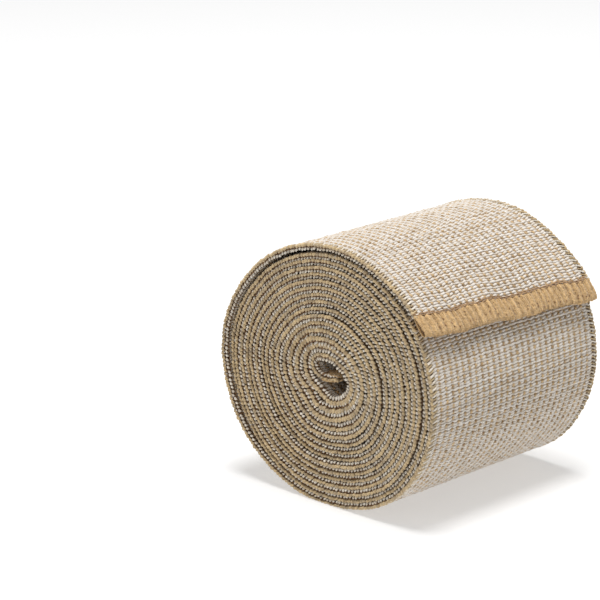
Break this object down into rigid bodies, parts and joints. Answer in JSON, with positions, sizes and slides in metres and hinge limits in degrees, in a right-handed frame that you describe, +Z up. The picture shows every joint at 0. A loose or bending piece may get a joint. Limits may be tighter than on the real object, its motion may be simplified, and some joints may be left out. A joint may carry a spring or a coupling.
{
  "type": "hand wrap",
  "caption": "Elastic hand wrap wound into a short roll, with looped edges, an overlocked end and an outer lap that lifts and unrolls.",
  "frame": {"origin": "on the resting surface, under the middle of the roll's bounding box", "axes": "+Y along the roll's axis, +Z up; the free end lies on the +X side and the outer lap unrolls towards -X"},
  "size_m": [0.056, 0.05, 0.0526],
  "materials": {
    "weave": "white and tan cotton, weft-faced weave",
    "elastic_thread": "matt rubber thread",
    "looped_edge": "tan and white looped yarn",
    "overlock_thread": "golden tan overlock thread",
    "chain_thread": "brown sewing thread"
  },
  "bodies": {
    "roll": {"roll_band": "weave", "roll_elastic_threads": "elastic_thread", "roll_near_edge": "looped_edge", "roll_far_edge": "looped_edge", "inner_end_overlock": "overlock_thread", "inner_end_chain_stitch": "chain_thread"},
    "lap_01": {"lap_01_band": "weave", "lap_01_elastic_threads": "elastic_thread", "lap_01_near_edge": "looped_edge", "lap_01_far_edge": "looped_edge"},
    "lap_02": {"lap_02_band": "weave", "lap_02_elastic_threads": "elastic_thread", "lap_02_near_edge": "looped_edge", "lap_02_far_edge": "looped_edge"},
    "lap_03": {"lap_03_band": "weave", "lap_03_elastic_threads": "elastic_thread", "lap_03_near_edge": "looped_edge", "lap_03_far_edge": "looped_edge"},
    "lap_04": {"lap_04_band": "weave", "lap_04_elastic_threads": "elastic_thread", "lap_04_near_edge": "looped_edge", "lap_04_far_edge": "looped_edge"},
    "lap_05": {"lap_05_band": "weave", "lap_05_elastic_threads": "elastic_thread", "lap_05_near_edge": "looped_edge", "lap_05_far_edge": "looped_edge"},
    "lap_06": {"lap_06_band": "weave", "lap_06_elastic_threads": "elastic_thread", "lap_06_near_edge": "looped_edge", "lap_06_far_edge": "looped_edge"},
    "lap_07": {"lap_07_band": "weave", "lap_07_elastic_threads": "elastic_thread", "lap_07_near_edge": "looped_edge", "lap_07_far_edge": "looped_edge"},
    "lap_08": {"lap_08_band": "weave", "lap_08_elastic_threads": "elastic_thread", "lap_08_near_edge": "looped_edge", "lap_08_far_edge": "looped_edge"},
    "lap_09": {"lap_09_band": "weave", "lap_09_elastic_threads": "elastic_thread", "lap_09_near_edge": "looped_edge", "lap_09_far_edge": "looped_edge"},
    "lap_10": {"lap_10_band": "weave", "lap_10_elastic_threads": "elastic_thread", "lap_10_near_edge": "looped_edge", "lap_10_far_edge": "looped_edge", "outer_end_overlock": "overlock_thread", "outer_end_chain_stitch": "chain_thread"}
  },
  "joints": [
    {"name": "unroll_01", "type": "hinge", "parent": "roll", "child": "lap_01", "pos_m": [-0.00808, 0, 0.00087], "axis": [0, -1, 0], "range_deg": [0, 26.02]},
    {"name": "unroll_02", "type": "hinge", "parent": "lap_01", "child": "lap_02", "pos_m": [-0.01759, 0, 0.00552], "axis": [0, -1, 0], "range_deg": [0, 22.03]},
    {"name": "unroll_03", "type": "hinge", "parent": "lap_02", "child": "lap_03", "pos_m": [-0.02456, 0, 0.01327], "axis": [0, -1, 0], "range_deg": [0, 23.5]},
    {"name": "unroll_04", "type": "hinge", "parent": "lap_03", "child": "lap_04", "pos_m": [-0.0278, 0, 0.02298], "axis": [0, -1, 0], "range_deg": [0, 23.67]},
    {"name": "unroll_05", "type": "hinge", "parent": "lap_04", "child": "lap_05", "pos_m": [-0.02688, 0, 0.03316], "axis": [0, -1, 0], "range_deg": [0, 23.51]},
    {"name": "unroll_06", "type": "hinge", "parent": "lap_05", "child": "lap_06", "pos_m": [-0.02187, 0, 0.0423], "axis": [0, -1, 0], "range_deg": [0, 22.52]},
    {"name": "unroll_07", "type": "hinge", "parent": "lap_06", "child": "lap_07", "pos_m": [-0.01351, 0, 0.04903], "axis": [0, -1, 0], "range_deg": [0, 21.35]},
    {"name": "unroll_08", "type": "hinge", "parent": "lap_07", "child": "lap_08", "pos_m": [-0.00301, 0, 0.05233], "axis": [0, -1, 0], "range_deg": [0, 20.63]},
    {"name": "end_lift_01", "type": "hinge", "parent": "lap_08", "child": "lap_09", "pos_m": [0.00809, 0, 0.05172], "axis": [0, -1, 0], "range_deg": [0, 20.67]},
    {"name": "end_lift_02", "type": "hinge", "parent": "lap_09", "child": "lap_10", "pos_m": [0.0182, 0, 0.04725], "axis": [0, -1, 0], "range_deg": [0, 21.45]}
  ],
  "couplings": [
    {"joint": "unroll_02", "follows": "unroll_01", "ratio": 0.84598},
    {"joint": "unroll_03", "follows": "unroll_01", "ratio": 0.90253},
    {"joint": "unroll_04", "follows": "unroll_01", "ratio": 0.909},
    {"joint": "unroll_05", "follows": "unroll_01", "ratio": 0.90308},
    {"joint": "unroll_06", "follows": "unroll_01", "ratio": 0.86491},
    {"joint": "unroll_07", "follows": "unroll_01", "ratio": 0.81995},
    {"joint": "unroll_08", "follows": "unroll_01", "ratio": 0.79244},
    {"joint": "end_lift_02", "follows": "end_lift_01", "ratio": 1.0376}
  ]
}
